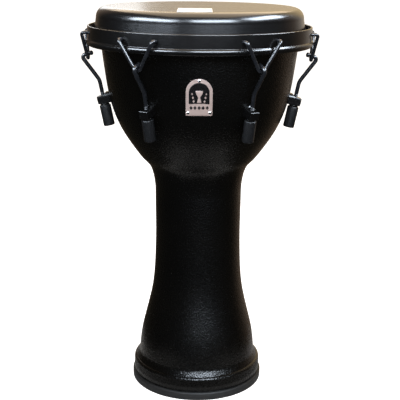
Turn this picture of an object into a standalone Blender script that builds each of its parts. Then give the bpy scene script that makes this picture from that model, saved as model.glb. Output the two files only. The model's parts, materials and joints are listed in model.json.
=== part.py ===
"""Mechanically tuned djembe: goblet shell, skin, tension hoop and six tuning stations.

Units are metres and +Z is up. The origin is the bottom centre of the foot, and the drum's
front is -Y. Station 1 lies on +X and the others follow every 60 degrees about +Z.
At each station a V-shaped hook hangs from the hoop, a cranked rod pulls on the hook, and
a long nut under a lug on the shell draws the rod down along an axis that leans inwards.
"""
import math

import bmesh
import bpy
from mathutils import Matrix, Vector

MM = 0.001
GAP = 0.3 * MM                  # clearance that touching pieces keep

# Whole drum
STEPS = 48                      # facets round every large turned piece
STATIONS = 6
HEAD_TOP = 575.7 * MM           # playing surface
WALL = 6.0 * MM                 # shell thickness

# Shell, as outer radius and height, from the foot's shoulder up to the bearing edge
FOOT_RADIUS = 98.7 * MM
FOOT_BORE = 91.5 * MM
SHELL_BOTTOM = 12.1 * MM
SHOULDER_HEIGHT = 30.0 * MM
SHOULDER_ROUND = 5.0 * MM
SHELL_CURVE = [(90.4, 43.0), (85.8, 80.0), (69.7, 150.0), (65.0, 215.0), (65.0, 285.0),
               (66.0, 316.0), (72.8, 341.0), (89.2, 360.0), (115.7, 400.0), (131.6, 442.0),
               (141.0, 500.0), (147.6, 561.1)]
EDGE_ROUND = 12.9 * MM          # rounded bearing edge under the skin
EDGE_START = 58                 # where its arc starts, in degrees above the horizontal

# Rubber ring under the foot
RING_RADIUS = 101.2 * MM
RING_BORE = 92.0 * MM
RING_HEIGHT = 11.8 * MM

# Skin: flat face, rounded corner and a collar that widens towards the hoop
SKIN = 1.2 * MM
SKIN_CORNER = 15.0 * MM
SKIN_RADIUS = 150.3 * MM
COLLAR_RADIUS = 152.4 * MM
COLLAR_WIDEST = 545.0 * MM
COLLAR_BOTTOM = 525.5 * MM

# Hoops
BAND_RADIUS = 163.0 * MM
BAND_THICKNESS = 2.5 * MM
BAND_TOP = 549.0 * MM
BEAD_CENTRE = (160.0 * MM, 525.9 * MM)
BEAD_RADIUS = 5.2 * MM
FLANGE_BORE = 153.4 * MM
FLANGE_LOW = 531.0 * MM
FLANGE_HIGH = 533.0 * MM
FLESH_BORE = 152.8 * MM
FLESH_RADIUS = 160.0 * MM
FLESH_LOW = 521.2 * MM

# V-shaped hook, in its station's radius, tangent and height
HOOK_WIRE = 2.6 * MM            # wire radius
ARM_SPREAD = 26.8 * MM          # each arm's distance from the station's plane
ARM_HEIGHT = 539.0 * MM
ARM_TIP = (154.0 * MM, 545.0 * MM)
ARM_BENDS = [3.2 * MM, 3.9 * MM]
ARM_OUTER = 169.4 * MM
APEX = (163.4 * MM, 499.9 * MM)
APEX_BEND = 5.95 * MM
HOOK_HOLE = 3.3 * MM

# Tuning axis: it leans inwards going down, and its origin is the nut's top centre
TILT = math.radians(11.5)
NUT_TOP = (140.0 * MM, 431.3 * MM)
NUT_RADIUS = 8.4 * MM
NUT_LENGTH = 31.5 * MM
NUT_BORE_DEPTH = 20.0 * MM
SOCKET_FLATS = 8.0 * MM
SOCKET_DEPTH = 8.0 * MM
NECK_RADIUS = 6.7 * MM
NECK_HEIGHT = 1.8 * MM
ROD_RADIUS = 3.0 * MM
ROD_CLEARANCE = 3.45 * MM       # hole radius round the rod
ROD_IN_NUT = 14.0 * MM
ROD_ROUTE = [(155.9, 508.2), (173.8, 503.2), (147.4, 468.0)]
ROD_BENDS = [4.4 * MM, 20.0 * MM]

# Lug, in the tuning axis's own frame: x outwards, z up along the axis
LUG_OUTER = 9.3 * MM
LUG_INNER = -14.0 * MM          # before the shell's curve is cut from it
LUG_HALF_WIDTH = 7.2 * MM
LUG_LOW = NECK_HEIGHT + 2 * GAP
LUG_HIGH = 15.0 * MM
PLATE_FRONT = -5.8 * MM
PLATE_ARCH = 11.9 * MM           # centre of the back plate's round top
BOLT_HEIGHT = 9.0 * MM
BOLT_RADIUS = 2.4 * MM
BOLT_HOLE = 2.85 * MM
BOLT_TIP = -4.8 * MM
BOLT_SEAT = -19.5 * MM
BOLT_FLATS = 8.0 * MM
BOLT_HEAD = 3.5 * MM
BOLT_WASHER_RADIUS = 6.0 * MM
BOLT_WASHER = 1.2 * MM

# Badge on the bowl's front, and the sticker on the skin
BADGE_WIDTH = 36.0 * MM
BADGE_LOW = 438.5 * MM
BADGE_HIGH = 489.5 * MM
BADGE_THICKNESS = 0.9 * MM
RIVET_SIDE = 3.3 * MM            # rivet centres, in from the badge's edges
RIVET_LOW = 4.3 * MM
RIVET_TOP = 2.8 * MM
RIVET_HEAD = 2.2 * MM
RIVET_SHANK = 1.1 * MM
RIVET_HOLE = 1.6 * MM
LABEL_SIZE = (47.0 * MM, 76.0 * MM, 0.4 * MM)
LABEL_CENTRE = (-7.0 * MM, -98.0 * MM)

# name: (colour, roughness, metallic)
FINISHES = {
    "moulded_shell": ((0.012, 0.011, 0.011), 0.42, 0.0),
    "foot_rubber": ((0.035, 0.037, 0.036), 0.75, 0.0),
    "black_skin": ((0.02, 0.02, 0.024), 0.32, 0.0),
    "black_steel": ((0.018, 0.018, 0.021), 0.38, 0.2),
    "nut_black": ((0.035, 0.037, 0.042), 0.6, 0.1),
    "badge_plate": ((0.56, 0.44, 0.42), 0.35, 0.8),
    "bright_steel": ((0.8, 0.8, 0.8), 0.25, 1.0),
    "zinc_steel": ((0.5, 0.5, 0.48), 0.4, 1.0),
    "white_label": ((0.85, 0.85, 0.83), 0.5, 0.0),
}


# ---------------------------------------------------------------- outlines

def arc(centre, radius, start, end, pieces):
    """Points on a circle, from start to end in degrees."""
    angles = [math.radians(start + (end - start) * i / pieces) for i in range(pieces + 1)]
    return [(centre[0] + radius * math.cos(a), centre[1] + radius * math.sin(a)) for a in angles]


def smooth_curve(points, pieces):
    """A Catmull-Rom curve through the points, with this many pieces between two of them."""
    ends = [2 * Vector(points[0]) - Vector(points[1]), 2 * Vector(points[-1]) - Vector(points[-2])]
    knots = [ends[0]] + [Vector(p) for p in points] + [ends[1]]
    curve = []
    for a, b, c, d in zip(knots, knots[1:], knots[2:], knots[3:]):
        for i in range(pieces):
            t = i / pieces
            bend = (c - a) * t + (2 * a - 5 * b + 4 * c - d) * t ** 2
            curve.append(b + (bend + (3 * b - a - 3 * c + d) * t ** 3) / 2)
    return [tuple(p) for p in curve] + [tuple(points[-1])]


def offset(points, distance):
    """The outline moved to its left by this distance."""
    moved = []
    for i, point in enumerate(points):
        run = Vector(points[min(i + 1, len(points) - 1)]) - Vector(points[max(i - 1, 0)])
        side = Vector((-run.y, run.x)).normalized()
        moved.append(tuple(Vector(point) + side * distance))
    return moved


def shell_side(pieces=2):
    """The shell's outer curve, from the shoulder of the foot up to the bearing edge."""
    return smooth_curve([(r * MM, z * MM) for r, z in SHELL_CURVE], pieces)


def radius_on_shell(height):
    side = shell_side()
    for (r0, z0), (r1, z1) in zip(side, side[1:]):
        if z0 <= height <= z1:
            return r0 + (r1 - r0) * (height - z0) / (z1 - z0)
    raise ValueError("height is off the shell's side")


def rounded_route(points, bends, pieces):
    """The route through the points, with each inner corner rounded to its bend radius."""
    route = [Vector(points[0])]
    for before, corner, after, radius in zip(points, points[1:], points[2:], bends):
        corner = Vector(corner)
        back = (Vector(before) - corner).normalized()
        ahead = (Vector(after) - corner).normalized()
        half = back.angle(ahead) / 2
        middle = corner + (back + ahead).normalized() * radius / math.sin(half)
        start = corner + back * radius / math.tan(half) - middle
        end = corner + ahead * radius / math.tan(half) - middle
        turn = start.angle(end)
        for i in range(pieces + 1):
            t = i / pieces
            spoke = start * math.sin((1 - t) * turn) + end * math.sin(t * turn)
            route.append(middle + spoke / math.sin(turn))
    return route + [Vector(points[-1])]


# ---------------------------------------------------------------- building blocks

def finish(name):
    """The named Principled material, made once."""
    material = bpy.data.materials.get(name)
    if material:
        return material
    colour, roughness, metallic = FINISHES[name]
    material = bpy.data.materials.new(name)
    material.use_nodes = True
    shader = material.node_tree.nodes["Principled BSDF"]
    shader.inputs["Base Color"].default_value = (*colour, 1.0)
    shader.inputs["Roughness"].default_value = roughness
    shader.inputs["Metallic"].default_value = metallic
    material.diffuse_color = (*colour, 1.0)
    return material


def add_object(name, data, collection, parent=None, matrix=None):
    piece = bpy.data.objects.new(name, data)
    collection.objects.link(piece)
    if parent:
        piece.parent = parent
    if matrix:
        piece.matrix_local = matrix
    return piece


def turned(name, outline, steps, closed=True, matrix=None):
    """A solid of revolution about Z, from an outline that runs down its outer side."""
    mesh = bpy.data.meshes.new(name)
    edges = [(i, i + 1) for i in range(len(outline) - 1)]
    if closed:
        edges.append((len(outline) - 1, 0))
    mesh.from_pydata([(r, 0, z) for r, z in outline], edges, [])
    piece = add_object(name, mesh, CUTTERS, matrix=matrix)
    screw = piece.modifiers.new("Screw", "SCREW")
    screw.axis = "Z"
    screw.steps = steps
    screw.render_steps = steps
    screw.use_merge_vertices = True
    screw.merge_threshold = 0.00002
    screw.use_smooth_shade = False
    return piece


def solid(name, build, matrix=None):
    """An object whose mesh the build function fills in."""
    mesh = bpy.data.meshes.new(name)
    shape = bmesh.new()
    build(shape)
    shape.to_mesh(mesh)
    shape.free()
    return add_object(name, mesh, CUTTERS, matrix=matrix)


def add_box(shape, low, high):
    size = [b - a for a, b in zip(low, high)]
    middle = [(a + b) / 2 for a, b in zip(low, high)]
    place = Matrix.Translation(middle) @ Matrix.Diagonal((*size, 1.0))
    bmesh.ops.create_cube(shape, size=1.0, matrix=place)


def add_rod(shape, start, end, radius, segments):
    """A closed cylinder or prism between two points."""
    run = Vector(end) - Vector(start)
    place = Matrix.Translation((Vector(start) + Vector(end)) / 2) @ run.to_track_quat("Z", "Y").to_matrix().to_4x4()
    bmesh.ops.create_cone(shape, cap_ends=True, segments=segments, radius1=radius,
                          radius2=radius, depth=run.length, matrix=place)


def wire(name, route, radius):
    """A round wire with closed ends, as a mesh."""
    curve = bpy.data.curves.new(name, "CURVE")
    curve.dimensions = "3D"
    curve.bevel_depth = radius
    curve.bevel_resolution = 2
    curve.use_fill_caps = True
    spline = curve.splines.new("POLY")
    spline.points.add(len(route) - 1)
    for point, place in zip(spline.points, route):
        point.co = (*place, 1.0)
    piece = add_object(name, curve, CUTTERS)
    return bake(piece)


def boolean(piece, other, operation="DIFFERENCE"):
    other.hide_render = True
    other.display_type = "WIRE"
    modifier = piece.modifiers.new(operation.title(), "BOOLEAN")
    modifier.operation = operation
    modifier.solver = "EXACT"
    modifier.object = other


def bevel(piece, width, segments=2):
    modifier = piece.modifiers.new("Bevel", "BEVEL")
    modifier.width = width
    modifier.segments = segments
    modifier.limit_method = "ANGLE"


def bake(piece):
    """The piece's evaluated mesh, welded. The piece itself is removed."""
    bpy.context.view_layer.update()
    evaluated = piece.evaluated_get(bpy.context.evaluated_depsgraph_get())
    mesh = bpy.data.meshes.new_from_object(evaluated)
    mesh.name = piece.name
    shape = bmesh.new()
    shape.from_mesh(mesh)
    bmesh.ops.remove_doubles(shape, verts=shape.verts, dist=0.000002)
    shape.to_mesh(mesh)
    shape.free()
    bpy.data.objects.remove(piece)
    return mesh


def place(name, mesh, material, parent=None, sharp=35):
    """One visible sub-part: the mesh, its material and smooth shading between sharp edges."""
    mesh.materials.clear()
    mesh.materials.append(finish(material))
    mesh.shade_smooth()
    mesh.set_sharp_from_angle(angle=math.radians(sharp))
    return add_object(name, mesh, DRUM, parent=parent)


# ---------------------------------------------------------------- shell and foot

def shell_outline():
    """Down the outside from the bearing edge to the foot, and back up the inside."""
    side = shell_side()
    top_radius, top_height = side[-1]
    edge = arc((top_radius - EDGE_ROUND, top_height), EDGE_ROUND, EDGE_START, 0, 3)
    shoulder = arc((FOOT_RADIUS - SHOULDER_ROUND, SHOULDER_HEIGHT), SHOULDER_ROUND, 75, 0, 3)
    outside = edge[:-1] + side[::-1] + shoulder + [(FOOT_RADIUS, SHELL_BOTTOM)]
    inner_side = offset(shell_side(1), WALL)
    inside = [(FOOT_BORE, SHELL_BOTTOM), (FOOT_BORE - 2 * MM, SHOULDER_HEIGHT)] + inner_side[1:]
    return outside + inside


def bolt_line(height=BOLT_HEIGHT):
    """The axis of the lug's bolt in the tuning frame, from inside the drum outwards."""
    return (LUG_INNER - 2 * WALL, 0, height), (BOLT_TIP + GAP, 0, height)


def rivet_places():
    """Badge rivets on the front, as x and height: top centre and the two lower corners."""
    side = BADGE_WIDTH / 2 - RIVET_SIDE
    low = BADGE_LOW + RIVET_LOW
    return [(0.0, BADGE_HIGH - RIVET_TOP), (-side, low), (side, low)]


def rivet_frame(x, height):
    """A frame on the shell's front at the rivet, whose +Z points out of the wall."""
    radius = radius_on_shell(height)
    slope = radius_on_shell(height + 3 * MM) - radius_on_shell(height - 3 * MM)
    outward = Vector((x / radius, -math.sqrt(1 - (x / radius) ** 2), -slope / (6 * MM)))
    spot = Vector((x, -math.sqrt(radius ** 2 - x ** 2), height))
    return Matrix.Translation(spot) @ outward.to_track_quat("Z", "Y").to_matrix().to_4x4()


def make_shell():
    shell = turned("shell_body", shell_outline(), STEPS)

    def holes(shape):
        for k in range(STATIONS):
            frame = station_turn(k) @ TUNING
            start, end = bolt_line()
            add_rod(shape, frame @ Vector(start), frame @ Vector(end), BOLT_HOLE, 12)
        for x, height in rivet_places():
            frame = rivet_frame(x, height)
            add_rod(shape, frame @ Vector((0, 0, -2 * WALL)), frame @ Vector((0, 0, WALL)), RIVET_HOLE, 8)

    boolean(shell, solid("shell_holes", holes))
    place("shell", bake(shell), "moulded_shell")


def make_foot_ring():
    chamfer = 1.2 * MM
    outline = [(RING_RADIUS - chamfer, RING_HEIGHT), (RING_RADIUS, RING_HEIGHT - chamfer),
               (RING_RADIUS, chamfer), (RING_RADIUS - chamfer, 0), (RING_BORE, 0),
               (RING_BORE, RING_HEIGHT)]
    place("foot_ring", bake(turned("ring", outline, STEPS)), "foot_rubber")


# ---------------------------------------------------------------- skin and hoops

def make_head():
    corner = (SKIN_RADIUS - SKIN_CORNER, HEAD_TOP - SKIN_CORNER)
    outside = arc(corner, SKIN_CORNER, 90, 0, 6)
    outside += [(COLLAR_RADIUS, COLLAR_WIDEST), (COLLAR_RADIUS, COLLAR_BOTTOM)]
    inside = [(COLLAR_RADIUS - SKIN, COLLAR_BOTTOM), (COLLAR_RADIUS - SKIN, COLLAR_WIDEST)]
    inside += arc(corner, SKIN_CORNER - SKIN, 0, 90, 6)
    outline = [(0, HEAD_TOP)] + outside + inside + [(0, HEAD_TOP - SKIN)]
    place("drum_head", bake(turned("head", outline, STEPS, closed=False)), "black_skin")


def make_label():
    x, y = LABEL_CENTRE
    wide, deep, thick = LABEL_SIZE
    low = (x - wide / 2, y - deep / 2, HEAD_TOP + GAP)
    high = (x + wide / 2, y + deep / 2, HEAD_TOP + GAP + thick)
    place("head_label", bake(solid("label", lambda shape: add_box(shape, low, high))), "white_label")


def make_tension_hoop():
    """A flat band with a half-round bead below and an inner flange that presses on the flesh hoop."""
    inner = BAND_RADIUS - BAND_THICKNESS
    bead_start = math.degrees(math.acos((BAND_RADIUS - BEAD_CENTRE[0]) / BEAD_RADIUS))
    outline = [(inner, BAND_TOP), (BAND_RADIUS, BAND_TOP)]
    outline += arc(BEAD_CENTRE, BEAD_RADIUS, bead_start, -85, 5)
    outline += [(FLESH_RADIUS + 0.4 * MM, FLANGE_LOW), (FLANGE_BORE, FLANGE_LOW)]
    outline += [(FLANGE_BORE, FLANGE_HIGH), (inner, FLANGE_HIGH)]
    hoop = turned("hoop", outline, STEPS)

    def holes(shape):
        for k in range(STATIONS):
            for side in (-1, 1):
                start = station_turn(k) @ Vector((APEX[0] - 8 * MM, side * ARM_SPREAD, ARM_HEIGHT))
                end = station_turn(k) @ Vector((ARM_OUTER, side * ARM_SPREAD, ARM_HEIGHT))
                add_rod(shape, start, end, HOOK_HOLE, 12)

    boolean(hoop, solid("hoop_holes", holes))
    place("tension_hoop", bake(hoop), "black_steel")


def make_flesh_hoop():
    high = FLANGE_LOW - GAP
    chamfer = 1.5 * MM
    outline = [(FLESH_BORE, high), (FLESH_RADIUS, high), (FLESH_RADIUS, FLESH_LOW + chamfer),
               (FLESH_RADIUS - chamfer, FLESH_LOW), (FLESH_BORE, FLESH_LOW)]
    place("flesh_hoop", bake(turned("flesh", outline, STEPS)), "zinc_steel")


# ---------------------------------------------------------------- tuning stations

def hook_mesh():
    """The V-shaped hook: up inside the band, out through it, down, and round the apex."""
    outer = Vector((ARM_OUTER, ARM_SPREAD, ARM_HEIGHT))
    rise = Vector((ARM_OUTER - APEX[0], 0, ARM_HEIGHT - APEX[1]))
    up = rise.normalized()
    centre = Vector((APEX[0], 0, APEX[1])) + up * APEX_BEND
    # the arm leaves the apex bend where it is tangent to the line up to its outer corner
    reach = Vector((ARM_SPREAD, rise.length - APEX_BEND))
    lean = math.atan2(reach.x, reach.y) - math.asin(APEX_BEND / reach.length)
    bend = [centre + Vector((0, APEX_BEND * math.cos(a), 0)) - up * APEX_BEND * math.sin(a)
            for a in [lean + (math.pi / 2 - lean) * i / 3 for i in range(4)]]
    tip = Vector((ARM_TIP[0], ARM_SPREAD, ARM_TIP[1]))
    inner = Vector((ARM_TIP[0], ARM_SPREAD, ARM_HEIGHT))
    half = rounded_route([tip, inner, outer, bend[0]], ARM_BENDS, 3)
    half += bend[1:]
    other = [Vector((p.x, -p.y, p.z)) for p in half[-2::-1]]
    return wire("hook", half + other, HOOK_WIRE)


def rod_mesh():
    """The cranked rod, in the tuning frame: hook end, outer bend, crank, and down into the nut."""
    to_tuning = TUNING.inverted()
    points = [to_tuning @ Vector((r * MM, 0, z * MM)) for r, z in ROD_ROUTE]
    points[-1].x = 0.0
    points.append(Vector((0, 0, -ROD_IN_NUT)))
    return wire("rod", rounded_route(points, ROD_BENDS, 4), ROD_RADIUS)


def lug_mesh():
    """A block with an arched back plate, cut to the shell's curve, with rod and bolt holes."""
    lug = solid("lug", lambda shape: add_box(
        shape, (LUG_INNER, -LUG_HALF_WIDTH, LUG_LOW), (LUG_OUTER, LUG_HALF_WIDTH, LUG_HIGH)), TUNING)
    bevel(lug, 1.2 * MM)
    plate = solid("lug_plate", lambda shape: add_rod(
        shape, (LUG_INNER + MM, 0, PLATE_ARCH), (PLATE_FRONT, 0, PLATE_ARCH), LUG_HALF_WIDTH - 0.1 * MM, 20), TUNING)
    boolean(lug, plate, "UNION")
    side = [p for p in offset(shell_side(), -GAP) if p[1] > 0.38]
    bowl = [(0, side[-1][1])] + side[::-1] + [(0, side[0][1])]
    boolean(lug, turned("lug_seat", bowl, STEPS, closed=False))
    through = solid("lug_rod_hole", lambda shape: add_rod(
        shape, (0, 0, 0), (0, 0, LUG_HIGH + 9 * MM), ROD_CLEARANCE, 12), TUNING)
    boolean(lug, through)
    boolean(lug, solid("lug_bolt_hole", lambda shape: add_rod(shape, *bolt_line(), BOLT_HOLE, 12), TUNING))
    return bake(lug)


def bolt_mesh():
    """The lug's bolt: a hex head inside the shell and a shank out into the lug."""
    head_radius = BOLT_FLATS / math.sqrt(3)
    bolt = solid("bolt", lambda shape: add_rod(
        shape, (BOLT_SEAT - BOLT_HEAD, 0, BOLT_HEIGHT), (BOLT_SEAT, 0, BOLT_HEIGHT), head_radius, 6))
    shank = solid("bolt_shank", lambda shape: add_rod(
        shape, (BOLT_SEAT - MM, 0, BOLT_HEIGHT), (BOLT_TIP, 0, BOLT_HEIGHT), BOLT_RADIUS, 10))
    boolean(bolt, shank, "UNION")
    return bake(bolt)


def washer_mesh(name, outer, bore, thickness):
    outline = [(bore, thickness), (outer, thickness), (outer, 0), (bore, 0)]
    return bake(turned(name, outline, 12))


def nut_mesh():
    """The long tuning nut: bored from above for the rod, hex socket below for the key."""
    chamfer = 0.7 * MM
    outline = [(0, -NUT_BORE_DEPTH), (ROD_CLEARANCE, -NUT_BORE_DEPTH), (ROD_CLEARANCE, 0),
               (NUT_RADIUS - chamfer, 0), (NUT_RADIUS, -chamfer), (NUT_RADIUS, chamfer - NUT_LENGTH),
               (NUT_RADIUS - chamfer, -NUT_LENGTH), (0, -NUT_LENGTH)]
    nut = turned("nut", outline, 20, closed=False)
    socket = solid("nut_socket", lambda shape: add_rod(
        shape, (0, 0, -NUT_LENGTH - 2 * MM), (0, 0, SOCKET_DEPTH - NUT_LENGTH), SOCKET_FLATS / math.sqrt(3), 6))
    boolean(nut, socket)
    return bake(nut)


def station_turn(k):
    return Matrix.Rotation(2 * math.pi * k / STATIONS, 4, "Z")


def make_stations():
    hook, rod, lug, bolt, nut = hook_mesh(), rod_mesh(), lug_mesh(), bolt_mesh(), nut_mesh()
    neck = washer_mesh("neck", NECK_RADIUS, ROD_CLEARANCE, NECK_HEIGHT)
    washer = washer_mesh("washer", BOLT_WASHER_RADIUS, BOLT_HOLE, BOLT_WASHER)
    under_head = Matrix.Translation((BOLT_SEAT + GAP, 0, BOLT_HEIGHT)) @ Matrix.Rotation(math.pi / 2, 4, "Y")
    for k in range(STATIONS):
        station = add_object(f"station_{k + 1}", None, DRUM, matrix=station_turn(k))
        axis = add_object(f"tuning_axis_{k + 1}", None, DRUM, parent=station, matrix=TUNING)
        place(f"v_hook_{k + 1}", hook, "black_steel", station, sharp=60)
        place(f"tension_rod_{k + 1}", rod, "black_steel", axis, sharp=60)
        place(f"lug_bracket_{k + 1}", lug, "black_steel", axis)
        place(f"tuning_nut_{k + 1}", nut, "nut_black", axis)
        place(f"nut_washer_{k + 1}", neck, "black_steel", axis).location.z = GAP
        place(f"lug_bolt_{k + 1}", bolt, "zinc_steel", axis)
        place(f"bolt_washer_{k + 1}", washer, "zinc_steel", axis).matrix_local = under_head


# ---------------------------------------------------------------- badge

def make_badge():
    """An arch-topped plate that follows the bowl, held by three rivets."""
    side = [p for p in shell_side() if BADGE_LOW - 0.02 < p[1] < BADGE_HIGH + 0.03]
    outer = offset(side, -GAP - BADGE_THICKNESS)
    inner = offset(side, -GAP)
    badge = turned("badge_slab", outer[::-1] + inner, STEPS)
    half = BADGE_WIDTH / 2
    back, front = (-0.11, -0.16)

    def arch(shape):
        add_box(shape, (-half, front, BADGE_LOW), (half, back, BADGE_HIGH - half))

    def dome(shape):
        add_rod(shape, (0, front - MM, BADGE_HIGH - half), (0, back + MM, BADGE_HIGH - half), half - 0.02 * MM, 24)

    blank = solid("badge_blank", arch)
    boolean(blank, solid("badge_dome", dome), "UNION")

    def holes(shape):
        for x, height in rivet_places():
            frame = rivet_frame(x, height)
            add_rod(shape, frame @ Vector((0, 0, -WALL)), frame @ Vector((0, 0, WALL)), RIVET_HOLE, 8)

    boolean(badge, blank, "INTERSECT")
    boolean(badge, solid("badge_holes", holes))
    place("badge", bake(badge), "badge_plate")

    seat = BADGE_THICKNESS + 2 * GAP
    outline = [(0, seat + 1.1 * MM), (RIVET_HEAD * 0.7, seat + 0.8 * MM), (RIVET_HEAD, seat),
               (RIVET_SHANK, seat), (RIVET_SHANK, -WALL - MM), (0, -WALL - MM)]
    rivet = bake(turned("rivet", outline, 12, closed=False))
    for number, (x, height) in enumerate(rivet_places(), 1):
        place(f"badge_rivet_{number}", rivet, "bright_steel").matrix_local = rivet_frame(x, height)


# ---------------------------------------------------------------- assembly

for old in list(bpy.data.objects):
    bpy.data.objects.remove(old)

DRUM = bpy.data.collections.new("djembe")
CUTTERS = bpy.data.collections.new("cutters")
for group in (DRUM, CUTTERS):
    bpy.context.scene.collection.children.link(group)

TUNING = Matrix.Translation((NUT_TOP[0], 0, NUT_TOP[1])) @ Matrix.Rotation(TILT, 4, "Y")

make_shell()
make_foot_ring()
make_head()
make_label()
make_tension_hoop()
make_flesh_hoop()
make_stations()
make_badge()
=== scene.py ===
"""Looks of the mechanically tuned djembe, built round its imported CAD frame.

Units are metres and +Z is up, in the CAD part's own frame. The drum's front is -Y. At each of
the six tuning stations a V-shaped hook hangs from the hoop, a cranked rod pulls on the hook,
and a long nut under a cast lug draws the rod down along an axis that leans inwards.
"""
import json
import math

import bmesh
import bpy
from mathutils import Matrix, Quaternion, Vector
from mathutils.geometry import delaunay_2d_cdt


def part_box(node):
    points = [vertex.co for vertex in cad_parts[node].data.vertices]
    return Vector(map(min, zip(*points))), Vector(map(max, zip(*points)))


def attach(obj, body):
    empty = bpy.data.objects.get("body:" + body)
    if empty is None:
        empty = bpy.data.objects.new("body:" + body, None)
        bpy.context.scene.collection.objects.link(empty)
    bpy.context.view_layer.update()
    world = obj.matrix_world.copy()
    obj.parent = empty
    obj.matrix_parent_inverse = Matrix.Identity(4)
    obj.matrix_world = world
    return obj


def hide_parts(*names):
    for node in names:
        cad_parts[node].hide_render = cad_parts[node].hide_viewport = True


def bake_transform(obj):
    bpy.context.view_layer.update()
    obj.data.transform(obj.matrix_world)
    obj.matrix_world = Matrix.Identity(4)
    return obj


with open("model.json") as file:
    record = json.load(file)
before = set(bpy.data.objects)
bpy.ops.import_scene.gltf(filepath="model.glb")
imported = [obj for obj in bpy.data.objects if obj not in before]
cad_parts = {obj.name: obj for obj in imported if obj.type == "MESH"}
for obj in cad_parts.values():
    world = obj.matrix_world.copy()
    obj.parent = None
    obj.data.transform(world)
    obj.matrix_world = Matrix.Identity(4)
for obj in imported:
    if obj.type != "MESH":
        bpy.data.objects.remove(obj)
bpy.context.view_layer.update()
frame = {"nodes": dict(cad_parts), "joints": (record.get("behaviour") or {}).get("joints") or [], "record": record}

MM = 0.001
GAP = 0.3 * MM
STATIONS = 6
BIG_STEPS = 192                 # facets round the shell, the head and the hoops
SMALL_STEPS = 48                # facets round the nuts, washers and rivets
WIRE_SIDES = 20

BODY_OF = {node: body for body, nodes in frame["record"]["behaviour"]["bodies"].items() for node in nodes}

# Shell, as outer radius and height in mm, from the foot's shoulder up to the bearing edge
WALL = 6.0 * MM
SHELL_CURVE = [(90.4, 43.0), (85.8, 80.0), (69.7, 150.0), (65.0, 215.0), (65.0, 285.0),
               (66.0, 316.0), (72.8, 341.0), (89.2, 360.0), (115.7, 400.0), (131.6, 442.0),
               (141.0, 500.0), (147.6, 561.1)]
FOOT_RADIUS = 98.7 * MM
FOOT_BORE = 91.5 * MM
SHOULDER_HEIGHT = 30.0 * MM
SHOULDER_ROUND = 5.0 * MM
SHOULDER_FILLET = 12.0 * MM
UNDERCUT = (1.6 * MM, 2.6 * MM)         # depth and height of the groove over the foot ring
EDGE_ROUND = 12.9 * MM
EDGE_START = 58
RING_BORE = 92.0 * MM
RING_ROUNDS = (2.3 * MM, 1.3 * MM)      # top and bottom outer edges

# Head film and its collar
FILM = 0.6 * MM
HEAD_RADIUS = 150.3 * MM
HEAD_CORNER = 15.0 * MM
COLLAR_WIDEST = 545.0 * MM
COLLAR_ROWS = 14

# Tension hoop
BAND_RADIUS = 163.0 * MM
BAND_THICKNESS = 2.5 * MM
BEAD_CENTRE = (160.0 * MM, 525.9 * MM)
BEAD_RADIUS = 5.2 * MM
FLANGE = (153.4 * MM, 531.0 * MM, 533.0 * MM)      # bore, lower and upper face
FLESH_SIDE = 160.4 * MM

# V-shaped hook, in its station's radius, tangent and height
HOOK_WIRE = 2.6 * MM
HOOK_HOLE = 3.3 * MM
ARM_SPREAD = 26.8 * MM
ARM_HEIGHT = 539.0 * MM
ARM_TIP = (154.0 * MM, 545.0 * MM)
ARM_OUTER = 169.4 * MM
ARM_BENDS = [3.2 * MM, 3.9 * MM]
APEX = (163.4 * MM, 499.9 * MM)
APEX_BEND = 5.95 * MM

# Rod, as station radius and height, then down the tuning axis
ROD_RADIUS = 3.0 * MM
ROD_ROUTE = [(155.9 * MM, 508.2 * MM), (173.8 * MM, 503.2 * MM), (147.4 * MM, 468.0 * MM)]
ROD_BENDS = [4.4 * MM, 20.0 * MM]
ROD_IN_NUT = 14.0 * MM
ROD_HOLE = 3.45 * MM
THREAD_TOP = 19.0 * MM
THREAD_CREST = 3.1 * MM
THREAD_ROOT = 2.65 * MM
THREAD_PITCH = 1.0 * MM

# Nut, neck and lug, in the tuning axis's frame: x outwards, z up along the axis, origin at the nut's top
NUT_RADIUS = 8.4 * MM
NUT_LENGTH = 31.5 * MM
NUT_BORE_DEPTH = 20.0 * MM
NUT_EDGE = 0.9 * MM
SOCKET_FLATS = 8.0 * MM
SOCKET_DEPTH = 8.0 * MM
NECK_RADIUS = 6.7 * MM
NECK_HEIGHT = 1.8 * MM
LUG_OUTER = 9.3 * MM
LUG_INNER = -14.0 * MM
LUG_HALF_WIDTH = 7.2 * MM
CORE_LOW = 0.38                 # the shell below this height is too far from the lugs to cut them
LUG_LOW = 2.4 * MM
LUG_HIGH = 15.0 * MM
LUG_FILLET = 4.0 * MM
LUG_SLOPE = 1.0 * MM            # how far the lug's top falls towards its outer edge
LUG_DRAFT = 0.5 * MM
PLATE_FRONT = -5.8 * MM
PLATE_ARCH = 11.9 * MM          # centre of the back plate's round top
CAST_GRAIN = 0.45 * MM          # voxel size that rounds the cast lug's edges

# Badge, rivets and label
BADGE_THICKNESS = 0.9 * MM
BADGE_CORNER = 2.2 * MM
RIVET_SIDE = 3.3 * MM
RIVET_LOW = 4.3 * MM
RIVET_TOP = 2.8 * MM
RIVET_HEAD = 2.3 * MM
RIVET_DOME = 1.3 * MM
FIELD_LOW = 16.5 * MM           # the black field's foot over the plate's foot
FIELD_TOP = 5.2 * MM            # and its top under the plate's top
FIELD_SIDE = 4.2 * MM
DIAMOND_HEIGHT = 11.4 * MM
LABEL_CORNER = 2.0 * MM
LABEL_BARS = [6.5 * MM, 4.5 * MM, 6.0 * MM, 3.5 * MM, 5.5 * MM]     # half lengths, row by row
LABEL_BAR_ASIDE = 12.5 * MM
LABEL_BAR_STEP = 9.0 * MM
LABEL_BAR_HALF = 1.1 * MM

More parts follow.
